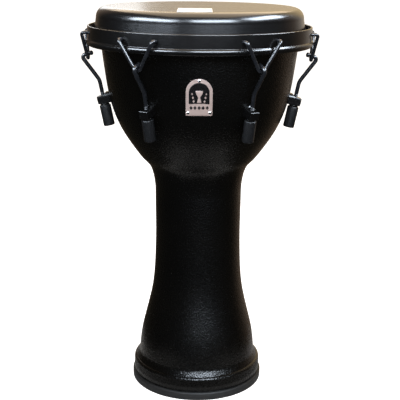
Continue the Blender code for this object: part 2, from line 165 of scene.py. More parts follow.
# Stage, light and camera
FLOOR_HALF = 20.0
GLOW_HALF = 0.2
HEAD_TOP = (0, 0, 0.57)
LOWER_BOWL = (0, 0, 0.4)
WINDOW_HEIGHT = 0.75
WINDOW_RADIANCE = 34.0
WINDOW_COLOUR = (0.78, 0.88, 1.0)
WINDOW_DISTANCE = 2.2
# Azimuth, elevation and width
WINDOWS = {"left": (-54, 26, 2.0), "middle": (15, 29, 1.65), "right": (86, 38, 1.75)}
# The room's colours along a direction, from the dark front to the warm back, upper right
ROOM_WAY = (0.3, 0.85, 0.45)
ROOM = [(0.0, (0.012, 0.014, 0.017)), (0.72, (0.018, 0.015, 0.01)), (0.86, (0.14, 0.1, 0.07)),
        (0.93, (0.33, 0.29, 0.25)), (0.98, (0.58, 0.43, 0.23))]
ROOM_STRENGTH = 2.0
BACKDROP_STRENGTH = 1.05
LENS = 82.1                     # mm, on a 36 mm sensor
EYE = (0, -1.3463, 0.6521)
LOOK_DOWN = 15.24               # degrees
LOOK_ASIDE = 0.002
CAMERA_LEAN = 0.6               # degrees


# ---------------------------------------------------------------- outlines and routes

def arc(centre, radius, start, end, pieces):
    """Points on a circle, from start to end in degrees."""
    angles = [math.radians(start + (end - start) * i / pieces) for i in range(pieces + 1)]
    return [(centre[0] + radius * math.cos(a), centre[1] + radius * math.sin(a)) for a in angles]


def smooth_curve(points, pieces):
    """A Catmull-Rom curve through the points, with this many pieces between two of them."""
    ends = [2 * Vector(points[0]) - Vector(points[1]), 2 * Vector(points[-1]) - Vector(points[-2])]
    knots = [ends[0]] + [Vector(p) for p in points] + [ends[1]]
    curve = []
    for a, b, c, d in zip(knots, knots[1:], knots[2:], knots[3:]):
        for i in range(pieces):
            t = i / pieces
            bend = (c - a) * t + (2 * a - 5 * b + 4 * c - d) * t ** 2
            curve.append(b + (bend + (3 * b - a - 3 * c + d) * t ** 3) / 2)
    return [tuple(p) for p in curve] + [tuple(points[-1])]


def offset(points, distance):
    """The outline moved to its left by this distance."""
    moved = []
    for i, point in enumerate(points):
        run = Vector(points[min(i + 1, len(points) - 1)]) - Vector(points[max(i - 1, 0)])
        side = Vector((-run.y, run.x)).normalized()
        moved.append(tuple(Vector(point) + side * distance))
    return moved


def rounded_route(points, bends, pieces=8):
    """The route through the points, with each inner corner rounded to its bend radius, or kept at 0."""
    route = [Vector(points[0])]
    for before, corner, after, radius in zip(points, points[1:], points[2:], bends):
        corner = Vector(corner)
        back = (Vector(before) - corner).normalized()
        ahead = (Vector(after) - corner).normalized()
        if radius == 0:
            route.append(corner)
            continue
        half = back.angle(ahead) / 2
        middle = corner + (back + ahead).normalized() * radius / math.sin(half)
        start = corner + back * radius / math.tan(half) - middle
        end = corner + ahead * radius / math.tan(half) - middle
        turn = start.angle(end)
        for i in range(pieces + 1):
            t = i / pieces
            spoke = start * math.sin((1 - t) * turn) + end * math.sin(t * turn)
            route.append(middle + spoke / math.sin(turn))
    return route + [Vector(points[-1])]


def rounded_outline(points, rounds, pieces=6):
    """A closed outline whose corners are rounded to these radii."""
    route = rounded_route([points[-1], *points, points[0]], rounds, pieces)
    return [tuple(p) for p in route[1:-1]]


def divided(start, end, pieces):
    """The points between two points, both ends left out."""
    a, b = Vector(start), Vector(end)
    return [tuple(a.lerp(b, i / pieces)) for i in range(1, pieces)]


SHELL_SIDE = [(r * MM, z * MM) for r, z in smooth_curve(SHELL_CURVE, 6)]


def radius_on_shell(height):
    for (r0, z0), (r1, z1) in zip(SHELL_SIDE, SHELL_SIDE[1:]):
        if z0 <= height <= z1:
            return r0 + (r1 - r0) * (height - z0) / (z1 - z0)
    raise ValueError("height is off the shell's side")


def front_frame(x, height):
    """A frame on the shell's front, whose +Z points out of the wall and whose +Y points up it."""
    radius = radius_on_shell(height)
    slope = (radius_on_shell(height + 3 * MM) - radius_on_shell(height - 3 * MM)) / (6 * MM)
    outward = Vector((x / radius, -math.sqrt(1 - (x / radius) ** 2), -slope)).normalized()
    across = Vector((0, 0, 1)).cross(outward).normalized()
    turn = Matrix((across, outward.cross(across), outward)).transposed().to_4x4()
    return Matrix.Translation((x, -math.sqrt(radius ** 2 - x ** 2), height)) @ turn


# ---------------------------------------------------------------- mesh building

def lathe(outline, steps=BIG_STEPS, closed=True):
    """The outline of radius and height turned about Z. A point on the axis becomes one vertex."""
    verts, rings = [], []
    for radius, height in outline:
        count = steps if radius > 1e-7 else 1
        rings.append((len(verts), count))
        for i in range(count):
            angle = 2 * math.pi * i / steps
            verts.append((radius * math.cos(angle), radius * math.sin(angle), height))
    faces = []
    pairs = list(zip(rings, rings[1:])) + ([(rings[-1], rings[0])] if closed else [])
    for (a, count_a), (b, count_b) in pairs:
        for i in range(steps):
            j = (i + 1) % steps
            corners = [a + i % count_a, a + j % count_a, b + j % count_b, b + i % count_b]
            faces.append(list(dict.fromkeys(corners)))
    return verts, faces


def tube(rings, sides):
    """A skin through rings of (centre, direction, radius), with flat ends."""
    verts, faces = [], []
    side = rings[0][1].orthogonal().normalized()
    for centre, direction, radius in rings:
        side = (side - direction * side.dot(direction)).normalized()
        other = direction.cross(side)
        for i in range(sides):
            angle = 2 * math.pi * i / sides
            verts.append(centre + (side * math.cos(angle) + other * math.sin(angle)) * radius)
    for a in range(0, len(verts) - sides, sides):
        for i in range(sides):
            j = (i + 1) % sides
            faces.append((a + i, a + j, a + sides + j, a + sides + i))
    faces.append(tuple(range(sides)))
    faces.append(tuple(range(len(verts) - sides, len(verts))))
    return verts, faces


def wire(route, radius, sides=WIRE_SIDES, flare=1.0):
    """A round wire with domed ends. Flare widens it towards its start, like a pressed tip."""
    points = [Vector(p) for p in route]
    runs = [(b - a).normalized() for a, b in zip(points, points[1:])]
    angles = [math.radians(a) for a in (82, 60, 30, 0)]
    dome = [(radius * 0.7 * (1 - math.sin(a)), radius * math.cos(a)) for a in angles]
    rings = [(points[0] + runs[0] * depth, runs[0], r * flare) for depth, r in dome]
    if flare > 1:
        rings.append((points[0] + runs[0] * radius * 1.1, runs[0], radius * flare))
        rings.append((points[0] + runs[0] * radius * 1.9, runs[0], radius))
    for point, before, after in zip(points[1:], runs, runs[1:]):
        rings.append((point, (before + after).normalized(), radius))
    rings += [(points[-1] - runs[-1] * depth, runs[-1], r) for depth, r in reversed(dome)]
    return tube(rings, sides)


def thread(low, high, sides=24, rows=8):
    """A screw thread about Z, with plain ends at its root."""
    verts, faces = [], []
    count = round((high - low) / THREAD_PITCH * rows)
    for i in range(count + 1):
        height = low + i * THREAD_PITCH / rows
        fade = min(1.0, i / rows, (count - i) / rows)
        for j in range(sides):
            phase = (height / THREAD_PITCH - j / sides) % 1.0
            crest = 1 - abs(2 * phase - 1)
            radius = THREAD_ROOT + (THREAD_CREST - THREAD_ROOT) * min(1.0, 1.3 * crest) * fade
            angle = 2 * math.pi * j / sides
            verts.append((radius * math.cos(angle), radius * math.sin(angle), height))
    for a in range(0, count * sides, sides):
        for j in range(sides):
            k = (j + 1) % sides
            faces.append((a + j, a + k, a + sides + k, a + sides + j))
    faces.append(tuple(range(sides)))
    faces.append(tuple(range(count * sides, (count + 1) * sides)))
    return verts, faces


def joined(*shapes):
    verts, faces = [], []
    for more_verts, more_faces in shapes:
        faces += [[i + len(verts) for i in face] for face in more_faces]
        verts += more_verts
    return verts, faces


def prism(outline, low, high, to_place):
    """A flat outline made solid between two levels. to_place(x, y, level) puts each point."""
    count = len(outline)
    verts = [to_place(x, y, level) for level in (low, high) for x, y in outline]
    sides = [(i, (i + 1) % count, count + (i + 1) % count, count + i) for i in range(count)]
    return verts, [tuple(range(count)), tuple(range(count, 2 * count)), *sides]


def plaque(outline_at, levels, to_place, spacing=2 * MM):
    """A thin plate. outline_at(inset) is its flat outline, levels are its rings' (inset, height) from the
    front face round to the back, and to_place(x, y, height) bends it onto what it lies on."""
    rings = [outline_at(inset) for inset, _ in levels]
    count = len(rings[0])
    verts = [to_place(x, y, height) for ring, (_, height) in zip(rings, levels) for x, y in ring]
    faces = []
    for a in range(0, (len(rings) - 1) * count, count):
        b = a + count
        faces += [(a + i, a + (i + 1) % count, b + (i + 1) % count, b + i) for i in range(count)]
    for ring, start, height in ((rings[0], 0, levels[0][1]), (rings[-1], len(verts) - count, levels[-1][1])):
        xs, ys = zip(*ring)
        grid = [(x * spacing, y * spacing)
                for x in range(math.ceil(min(xs) / spacing), math.ceil(max(xs) / spacing))
                for y in range(math.ceil(min(ys) / spacing), math.ceil(max(ys) / spacing))]
        flat = [Vector(p) for p in [*ring, *grid]]
        cover = delaunay_2d_cdt(flat, [], [list(range(count))], 1, 1e-7)
        index = {}
        for i, (spot, origin) in enumerate(zip(cover[0], cover[3])):
            if origin and origin[0] < count:
                index[i] = start + origin[0]
            elif any(i in face for face in cover[2]):
                index[i] = len(verts)
                verts.append(to_place(spot.x, spot.y, height))
        faces += [[index[i] for i in face] for face in cover[2]]
    return verts, faces


def make_mesh(name, shape):
    mesh = bpy.data.meshes.new(name)
    verts, faces = shape
    mesh.from_pydata([tuple(v) for v in verts], [], [tuple(f) for f in faces])
    build = bmesh.new()
    build.from_mesh(mesh)
    bmesh.ops.recalc_face_normals(build, faces=build.faces)
    build.to_mesh(mesh)
    build.free()
    return mesh


def add_piece(name, mesh, material, matrix=None, sharp=35):
    """A shown piece with its material, smooth between its sharp edges."""
    mesh.materials.clear()
    mesh.materials.append(material)
    mesh.shade_smooth()
    mesh.set_sharp_from_angle(angle=math.radians(sharp))
    piece = bpy.data.objects.new(name, mesh)
    bpy.context.scene.collection.objects.link(piece)
    if matrix:
        piece.matrix_world = matrix
    return piece


def stands_for(piece, node):
    """The piece shows in place of a CAD node and moves with its body."""
    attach(piece, BODY_OF[node])
    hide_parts(node)


def trims(piece, node):
    """The piece is on a CAD node's own piece: it moves with the same body."""
    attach(piece, BODY_OF[node])


def baked(piece):
    """The piece's evaluated mesh. The piece itself is removed."""
    bpy.context.view_layer.update()
    mesh = bpy.data.meshes.new_from_object(piece.evaluated_get(bpy.context.evaluated_depsgraph_get()))
    mesh.name = piece.name
    bpy.data.objects.remove(piece)
    return mesh


def combine(mesh, cutters, operation="DIFFERENCE"):
    """The mesh after exact Booleans with the cutter meshes, one after the other."""
    piece = bpy.data.objects.new("work", mesh)
    others = [bpy.data.objects.new("cutter", cutter) for cutter in cutters]
    for thing in [piece, *others]:
        bpy.context.scene.collection.objects.link(thing)
    for other in others:
        modifier = piece.modifiers.new("Cut", "BOOLEAN")
        modifier.operation = operation
        modifier.object = other
    result = baked(piece)
    for other in others:
        bpy.data.objects.remove(other)
    return result


def round_bar(start, end, radius, sides=SMALL_STEPS):
    """A plain cylinder or prism mesh between two points."""
    start, end = Vector(start), Vector(end)
    way = (end - start).normalized()
    return make_mesh("bar", tube([(start, way, radius), (end, way, radius)], sides))


# ---------------------------------------------------------------- materials

class Finish:
    """A Principled material whose detail comes from patterns measured in metres."""

    def __init__(self, name, metallic=0.0, **sockets):
        self.material = bpy.data.materials.new(name)
        self.material.use_nodes = True
        self.tree = self.material.node_tree
        self.shader = self.tree.nodes["Principled BSDF"]
        self.shader.inputs["Metallic"].default_value = metallic
        for socket, value in sockets.items():
            self.shader.inputs[socket.replace("_", " ")].default_value = value
        self.place = self.tree.nodes.new("ShaderNodeTexCoord").outputs["Object"]
        self.relief = None

    def node(self, kind, settings=None, **inputs):
        made = self.tree.nodes.new("ShaderNode" + kind)
        for key, value in (settings or {}).items():
            setattr(made, key, value)
        for name, value in inputs.items():
            socket = made.inputs[name.replace("_", " ")]
            if isinstance(value, bpy.types.NodeSocket):
                self.tree.links.new(value, socket)
            else:
                socket.default_value = value
        return made

    def stretched(self, x, y, z):
        """Pattern coordinates that run this many times faster along each axis."""
        return self.node("Mapping", Vector=self.place, Scale=(x, y, z)).outputs["Vector"]

    def noise(self, per_metre, detail=3.0, place=None):
        made = self.node("TexNoise", Vector=place or self.place, Scale=per_metre, Detail=detail)
        return made.outputs[0]

    def cells(self, per_metre):
        made = self.node("TexVoronoi", {"feature": "SMOOTH_F1"}, Vector=self.place, Scale=per_metre)
        return made.outputs["Distance"]

    def spread(self, pattern, low, high, start=0.3, end=0.7):
        """The pattern's values from start to end, spread over low to high."""
        made = self.node("MapRange", Value=pattern)
        for socket, value in zip(("From Min", "From Max", "To Min", "To Max"), (start, end, low, high)):
            made.inputs[socket].default_value = value
        return made.outputs["Result"]

    def colours(self, pattern, dark, light, start=0.3, end=0.7):
        made = self.node("ValToRGB", Fac=pattern)
        first, last = made.color_ramp.elements
        first.position, last.position = start, end
        first.color, last.color = (*dark, 1.0), (*light, 1.0)
        self.tree.links.new(made.outputs["Color"], self.shader.inputs["Base Color"])

    def roughness(self, value):
        self.tree.links.new(value, self.shader.inputs["Roughness"])

    def bump(self, height, distance, strength=1.0):
        """Relief of this depth, on top of any that is there already."""
        made = self.node("Bump", Height=height, Distance=distance, Strength=strength)
        if self.relief:
            self.tree.links.new(self.relief, made.inputs["Normal"])
        self.relief = made.outputs["Normal"]
        self.tree.links.new(self.relief, self.shader.inputs["Normal"])


def shell_plastic():
    """Black moulded plastic with a pebbled grain of about 1.8 mm."""
    look = Finish("shell_plastic", IOR=1.5, Specular_IOR_Level=0.36)
    look.colours(look.noise(14.0), (0.0016, 0.0015, 0.0013), (0.0028, 0.0026, 0.0022))
    look.roughness(look.spread(look.noise(420.0), 0.25, 0.31))
    look.bump(look.cells(560.0), 0.45 * MM, 1.0)
    look.bump(look.noise(1900.0, 2.0), 0.05 * MM, 0.5)
    return look.material


def foot_rubber():
    """Grey-black rubber with a matt, slightly dusty surface."""
    look = Finish("foot_rubber", IOR=1.45)
    look.colours(look.noise(60.0, 5.0), (0.011, 0.0115, 0.012), (0.022, 0.0225, 0.023))
    look.roughness(look.spread(look.noise(300.0), 0.48, 0.7))
    look.bump(look.noise(1400.0, 4.0), 0.06 * MM, 0.5)
    return look.material


def head_film():
    """Black drum film: satin, with faint handling marks."""
    look = Finish("head_film", IOR=1.52)
    look.colours(look.noise(22.0), (0.003, 0.0032, 0.004), (0.006, 0.0063, 0.0075))
    marks = look.noise(9.0, 6.0, look.stretched(1.0, 3.0, 1.0))
    look.roughness(look.spread(marks, 0.215, 0.25))
    look.bump(look.noise(1600.0, 2.0), 0.02 * MM, 0.3)
    return look.material


def powder_coat(name, dark, light, rough):
    """Satin black powder coat with a fine orange-peel surface."""
    look = Finish(name, IOR=1.5)
    look.colours(look.noise(160.0), dark, light)
    look.roughness(look.spread(look.noise(60.0), rough - 0.015, rough + 0.015))
    look.bump(look.noise(950.0, 2.0), 0.01 * MM, 0.3)
    return look.material


def nut_black():
    """Dark grey, rough phosphate with pale specks."""
    look = Finish("nut_black", IOR=1.5, Specular_IOR_Level=0.3)
    look.colours(look.noise(1500.0, 3.0), (0.004, 0.0045, 0.006), (0.045, 0.05, 0.056), 0.48, 0.75)
    look.roughness(look.spread(look.noise(900.0), 0.34, 0.46))
    look.bump(look.noise(1300.0, 3.0), 0.09 * MM, 0.7)
    return look.material


def brushed_badge():
    """Warm silver plate, brushed across."""
    look = Finish("badge_metal", metallic=0.3)
    lines = look.noise(1.0, 4.0, look.stretched(90.0, 90.0, 5200.0))
    look.colours(lines, (0.62, 0.5, 0.48), (0.78, 0.65, 0.63))
    look.roughness(look.spread(lines, 0.3, 0.46))
    look.bump(lines, 0.02 * MM, 0.3)
    return look.material


def enamel():
    """Gloss black enamel in the badge."""
    look = Finish("badge_enamel", IOR=1.5)
    look.colours(look.noise(300.0), (0.004, 0.004, 0.0045), (0.009, 0.009, 0.01))
    look.roughness(look.spread(look.noise(700.0), 0.24, 0.34))
    return look.material


def bare_metal(name, dark, light, smooth, rough):
    """Plated or rolled metal with fine scratches."""
    look = Finish(name, metallic=1.0)
    look.colours(look.noise(240.0, 4.0), dark, light)
    look.roughness(look.spread(look.noise(1.0, 3.0, look.stretched(2400.0, 300.0, 300.0)), smooth, rough))
    look.bump(look.noise(1200.0, 2.0), 0.015 * MM, 0.4)
    return look.material


def paper():
    """White coated paper with a trace of fibre."""
    look = Finish("label_paper", IOR=1.45)
    look.colours(look.noise(500.0, 4.0), (0.74, 0.74, 0.72), (0.84, 0.84, 0.83))
    look.roughness(look.spread(look.noise(300.0), 0.4, 0.55))
    return look.material


def pale_print():
    """Faint grey print on the label."""
    look = Finish("label_print")
    look.colours(look.noise(900.0, 3.0), (0.3, 0.3, 0.31), (0.42, 0.42, 0.43))
    look.roughness(look.spread(look.noise(300.0), 0.45, 0.6))
    return look.material


def pale_floor(name, glow, shade=1.0):
    """Matt floor that glows by itself. The shade darkens its own colour."""
    look = Finish(name, Emission_Color=(1.0, 1.0, 1.0, 1.0), Emission_Strength=glow)
    look.colours(look.noise(2.0), (0.9 * shade,) * 3, (0.94 * shade,) * 3)
    look.roughness(look.spread(look.noise(5.0), 0.85, 0.95))
    return look.material


# ---------------------------------------------------------------- shell, foot and head

def build_shell(material):
    """Outside from the bearing edge down to the foot, over the undercut, and back up the inside."""
    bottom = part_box("shell")[0].z
    top_radius, top_height = SHELL_SIDE[-1]
    edge = arc((top_radius - EDGE_ROUND, top_height), EDGE_ROUND, EDGE_START, 0, 10)
    shoulder = arc((FOOT_RADIUS - SHOULDER_ROUND, SHOULDER_HEIGHT), SHOULDER_ROUND, 75, 0, 8)
    fillet = rounded_route([SHELL_SIDE[2], SHELL_SIDE[0], shoulder[0]], [SHOULDER_FILLET], 6)
    depth, height = UNDERCUT
    rim = rounded_route([shoulder[-1], (FOOT_RADIUS, bottom + height), (FOOT_RADIUS - depth, bottom + height),
                         (FOOT_RADIUS - depth, bottom), (FOOT_BORE, bottom)], [0.8 * MM, 0.5 * MM, 0])
    outside = edge[:-1] + SHELL_SIDE[:1:-1] + [tuple(p) for p in fillet[1:-1]] + shoulder[:-1]
    outside += divided(shoulder[-1], rim[1], 3) + [tuple(p) for p in rim]
    inner_side = offset(SHELL_SIDE, WALL)
    inside = [(FOOT_BORE - 2 * MM, SHOULDER_HEIGHT)] + inner_side[6::2] + [inner_side[-1]]
    shell = add_piece("shell_moulding", make_mesh("shell_moulding", lathe(outside + inside)), material)
    stands_for(shell, "shell")


def build_foot_ring(material):
    low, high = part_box("foot_ring")
    top_round, low_round = RING_ROUNDS
    outline = rounded_outline([(RING_BORE, high.z), (high.x, high.z), (high.x, low.z), (RING_BORE, low.z)],
                              [0.6 * MM, top_round, low_round, 0.8 * MM])
    ring = add_piece("foot_ring_rubber", make_mesh("foot_ring_rubber", lathe(outline)), material)
    stands_for(ring, "foot_ring")


def build_head(material):
    """Flat film, rounded corner, and a collar that stretches where the hoop draws it down."""
    low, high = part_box("drum_head")
    corner = (HEAD_RADIUS - HEAD_CORNER, high.z - HEAD_CORNER)
    flat = [(corner[0] * i / 8, high.z) for i in range(8)]
    bend = arc(corner, HEAD_CORNER, 90, 0, 20)
    widest, bottom = (high.x, COLLAR_WIDEST), (high.x, low.z)
    outside = flat + bend + divided(bend[-1], widest, COLLAR_ROWS) + [widest]
    outside += divided(widest, bottom, COLLAR_ROWS) + [bottom]
    inside = offset(outside[1:], -FILM)[::-1]
    inside[-1] = (inside[-1][0], high.z - FILM)
    outline = outside + [(high.x - FILM, low.z)] + inside[1:] + [(0, high.z - FILM)]
    head = add_piece("head_skin", make_mesh("head_skin", lathe(outline, closed=False)), material)
    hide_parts("drum_head")
    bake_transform(head)


def build_label(material, print_material):
    """A blank white sticker with a few pale bars in place of its print."""
    low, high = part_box("head_label")
    middle = (low + high) / 2
    half_wide, half_deep = (high.x - low.x) / 2, (high.y - low.y) / 2

    def sheet_outline(inset):
        x, y = half_wide - inset, half_deep - inset
        return rounded_outline([(x, y), (-x, y), (-x, -y), (x, -y)], [LABEL_CORNER - inset] * 4)

    def on_head(x, y, height):
        beyond = math.hypot(middle.x + x, middle.y + y) - (HEAD_RADIUS - HEAD_CORNER)
        drop = HEAD_CORNER - math.sqrt(HEAD_CORNER ** 2 - max(beyond, 0) ** 2)
        return (middle.x + x, middle.y + y, low.z + height - drop)

    thick = high.z - low.z
    levels = [(0.15 * MM, thick), (0, thick - 0.12 * MM), (0, 0)]
    mesh = make_mesh("label_sheet", plaque(sheet_outline, levels, on_head, 8 * MM))
    stands_for(add_piece("label_sheet", mesh, material), "head_label")

    bars = []
    for side in (-1, 1):
        for row, half_long in enumerate(LABEL_BARS):
            spot = Vector((side * LABEL_BAR_ASIDE, (row - 2) * LABEL_BAR_STEP))
            outline = [(spot.x + x * half_long, spot.y + y * LABEL_BAR_HALF)
                       for x, y in ((1, 1), (-1, 1), (-1, -1), (1, -1))]
            bars.append(prism(outline, thick, thick + 0.05 * MM, on_head))
    print_bars = add_piece("label_bars", make_mesh("label_bars", joined(*bars)), print_material)
    trims(print_bars, "head_label")


# ---------------------------------------------------------------- hoop

def hoop_outline():
    """Band with a rounded top edge, a half-round bead below it and an inner flange."""
    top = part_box("tension_hoop")[1].z
    inner = BAND_RADIUS - BAND_THICKNESS
    bead_start = math.degrees(math.acos((BAND_RADIUS - BEAD_CENTRE[0]) / BEAD_RADIUS))
    bead = arc(BEAD_CENTRE, BEAD_RADIUS, bead_start, -84, 18)
    bore, low, high = FLANGE
    corners = [((inner, high), 0.8), ((inner, top), 0.9), ((BAND_RADIUS, top), 1.2), (bead[0], 0.9)]
    corners += [(spot, 0) for spot in bead[3:-1]]
    corners += [(bead[-1], 0.0), ((FLESH_SIDE, BEAD_CENTRE[1]), 0), ((FLESH_SIDE, low), 0.8)]
    corners += [((bore, low), 0.6), ((bore, high), 0.6)]
    return rounded_outline([spot for spot, _ in corners], [radius * MM for _, radius in corners])


def station_turn(k):
    return Matrix.Rotation(2 * math.pi * k / STATIONS, 4, "Z")


def build_tension_hoop(material):
    drills = []
    for k in range(STATIONS):
        for side in (-1, 1):
            start = station_turn(k) @ Vector((APEX[0] - 8 * MM, side * ARM_SPREAD, ARM_HEIGHT))
            end = station_turn(k) @ Vector((ARM_OUTER, side * ARM_SPREAD, ARM_HEIGHT))
            drills.append(round_bar(start, end, HOOK_HOLE, 24))
    mesh = combine(make_mesh("hoop_steel", lathe(hoop_outline())), drills)
    stands_for(add_piece("hoop_steel", mesh, material), "tension_hoop")


# ---------------------------------------------------------------- tuning stations

def tuning_frame(joint):
    """The nut's frame: origin at its top centre, +Z up its axis and +X outwards."""
    spot, up = Vector(joint["pos_m"]), Vector(joint["axis"])
    outward = Vector((spot.x, spot.y, 0))
    outward = (outward - up * outward.dot(up)).normalized()
    turn = Matrix((outward, up.cross(outward), up)).transposed().to_4x4()
    return Matrix.Translation(spot) @ turn


TUNING = [tuning_frame(j) for j in frame["joints"] if j["name"].startswith("nut_")]


def hook_mesh():
    """Up inside the band, out through it, down, and round the apex to the other arm."""
    outer = Vector((ARM_OUTER, ARM_SPREAD, ARM_HEIGHT))
    rise = Vector((ARM_OUTER - APEX[0], 0, ARM_HEIGHT - APEX[1]))
    up = rise.normalized()
    centre = Vector((APEX[0], 0, APEX[1])) + up * APEX_BEND
    # the arm leaves the apex bend where it is tangent to the line up to its outer corner
    reach = Vector((ARM_SPREAD, rise.length - APEX_BEND))
    lean = math.atan2(reach.x, reach.y) - math.asin(APEX_BEND / reach.length)
    bend = [centre + Vector((0, APEX_BEND * math.cos(a), 0)) - up * APEX_BEND * math.sin(a)
            for a in [lean + (math.pi / 2 - lean) * i / 8 for i in range(9)]]
    tip = Vector((ARM_TIP[0], ARM_SPREAD, ARM_TIP[1]))
    inner = Vector((ARM_TIP[0], ARM_SPREAD, ARM_HEIGHT))
    half = rounded_route([tip, inner, outer, bend[0]], ARM_BENDS)
    half += bend[1:]
    other = [Vector((p.x, -p.y, p.z)) for p in half[-2::-1]]
    return make_mesh("v_hook_wire", wire(half + other, HOOK_WIRE))


def rod_mesh():
    """The cranked rod in the tuning frame, with its pressed tip and its thread."""
    to_tuning = TUNING[0].inverted()
    points = [to_tuning @ Vector((r, 0, z)) for r, z in ROD_ROUTE]
    points[-1].x = 0.0
    points.append(Vector((0, 0, THREAD_TOP - 1.5 * MM)))
    bar = wire(rounded_route(points, ROD_BENDS, 12), ROD_RADIUS, flare=1.16)
    return make_mesh("rod_steel", joined(bar, thread(-ROD_IN_NUT, THREAD_TOP)))


def shell_core(gap):
    """What lies inside the shell's outer surface, grown by the gap, as a mesh."""
    side = [p for p in offset(SHELL_SIDE, -gap) if p[1] > CORE_LOW]
    return make_mesh("core", lathe([(0, side[-1][1]), *side[::-1], (0, side[0][1])], closed=False))


def lug_mesh():
    """A cast lug in the tuning frame: block, fillet and arched back plate, shaped to the shell."""
    edge = LUG_HIGH - LUG_SLOPE
    fillet_end = (PLATE_FRONT + LUG_FILLET, LUG_HIGH)
    plate_top = PLATE_ARCH + LUG_HALF_WIDTH
    corners = [(LUG_INNER, LUG_LOW), (LUG_OUTER - LUG_DRAFT, LUG_LOW), (LUG_OUTER, edge), fillet_end]
    corners += [(PLATE_FRONT, LUG_HIGH + LUG_FILLET), (PLATE_FRONT, plate_top), (LUG_INNER, plate_top)]
    profile = rounded_route(corners, [1.0 * MM, 1.3 * MM, 0, 0, 0])
    face = [(LUG_HALF_WIDTH, LUG_LOW - MM)] + arc((0, PLATE_ARCH), LUG_HALF_WIDTH - 0.1 * MM, 0, 180, 32)
    face += [(-LUG_HALF_WIDTH, LUG_LOW - MM)]
    block = make_mesh("block", prism(lug_profile(profile), -LUG_HALF_WIDTH - MM, LUG_HALF_WIDTH + MM,
                                     lambda x, y, level: (x, level, y)))
    front = make_mesh("front", prism(face, LUG_INNER - MM, LUG_OUTER + MM,
                                     lambda x, y, level: (level, x, y)))
    mesh = combine(block, [front], "INTERSECT")
    cast = bpy.data.objects.new("lug_cast", mesh)
    bpy.context.scene.collection.objects.link(cast)
    remesh = cast.modifiers.new("Cast", "REMESH")
    remesh.mode = "VOXEL"
    remesh.voxel_size = CAST_GRAIN
    soften = cast.modifiers.new("Soften", "SMOOTH")
    soften.factor = 0.5
    soften.iterations = 4
    core = shell_core(GAP)
    core.transform(TUNING[0].inverted())
    hole = round_bar((0, 0, 0), (0, 0, LUG_HIGH + 9 * MM), ROD_HOLE, 32)
    return combine(baked(cast), [core, hole])


def lug_profile(points):
    """The profile with its fillet drawn as a hollow quarter circle."""
    outline = []
    for point in points:
        outline.append(tuple(point))
        if point.x == PLATE_FRONT + LUG_FILLET and point.y == LUG_HIGH:
            hollow = arc((PLATE_FRONT + LUG_FILLET, LUG_HIGH + LUG_FILLET), LUG_FILLET, 270, 180, 8)
            outline += hollow[1:-1]
    return outline


def nut_mesh():
    """A long round nut: chamfered ends, a bore above and a hex socket below."""
    top = rounded_route([(ROD_HOLE, -1.0 * MM), (ROD_HOLE + 0.7 * MM, 0), (NUT_RADIUS - NUT_EDGE, 0),
                         (NUT_RADIUS, -NUT_EDGE), (NUT_RADIUS, NUT_EDGE - NUT_LENGTH),
                         (NUT_RADIUS - NUT_EDGE, -NUT_LENGTH), (0, -NUT_LENGTH)],
                        [0.2 * MM, 0.4 * MM, 0.6 * MM, 0.6 * MM, 0.4 * MM], 3)
    outline = [(0, -NUT_BORE_DEPTH), (ROD_HOLE, -NUT_BORE_DEPTH)] + [tuple(p) for p in top]
    socket = round_bar((0, 0, -NUT_LENGTH - 2 * MM), (0, 0, SOCKET_DEPTH - NUT_LENGTH),
                       SOCKET_FLATS / math.sqrt(3), 6)
    return combine(make_mesh("nut_steel", lathe(outline, SMALL_STEPS, closed=False)), [socket])


def neck_mesh():
    corners = [(ROD_HOLE, NECK_HEIGHT), (NECK_RADIUS, NECK_HEIGHT), (NECK_RADIUS, 0), (ROD_HOLE, 0)]
    outline = rounded_outline(corners, [0.2 * MM, 0.4 * MM, 0.4 * MM, 0.2 * MM], 3)
    return make_mesh("neck_steel", lathe(outline, SMALL_STEPS))


def build_stations(coat, rod_painted_sheen_coat, nut_coat):
    hook, rod, lug, nut, neck = hook_mesh(), rod_mesh(), lug_mesh(), nut_mesh(), neck_mesh()
    lift = Matrix.Translation((0, 0, GAP))
    for k, tuning in enumerate(TUNING):
        number = k + 1
        # Hooks and rods take the coat whose lighter, bluer colour is painted sheen.
        stands_for(add_piece(f"v_hook_wire_{number}", hook, rod_painted_sheen_coat, station_turn(k)), f"v_hook_{number}")
        stands_for(add_piece(f"rod_steel_{number}", rod, rod_painted_sheen_coat, tuning), f"tension_rod_{number}")
        stands_for(add_piece(f"lug_cast_{number}", lug, coat, tuning), f"lug_bracket_{number}")
        stands_for(add_piece(f"nut_steel_{number}", nut, nut_coat, tuning), f"tuning_nut_{number}")
        stands_for(add_piece(f"neck_steel_{number}", neck, coat, tuning @ lift), f"nut_washer_{number}")


# ---------------------------------------------------------------- badge

def arch_outline(half_width, low, high, corner, pieces=28):
    """An arch-topped outline, counter-clockwise from its lower right corner."""
    foot = rounded_route([(0, low), (half_width, low), (half_width, high - half_width)], [corner], 5)
    right = [tuple(p) for p in foot[1:-1]]
    dome = arc((0, high - half_width), half_width, 0, 180, pieces)
    left = [(-x, y) for x, y in reversed(right)]
    return right + dome + left


def drum_outline():
    """A small goblet-drum silhouette, as half width and height in mm."""
    half = [(3.1, 0.0), (2.6, 1.6), (1.7, 5.5), (1.7, 8.0), (3.4, 10.6), (4.6, 13.2), (5.0, 16.0)]
    side = smooth_curve([(x * MM, y * MM) for x, y in half], 4)
    return side + [(-x, y) for x, y in reversed(side)]


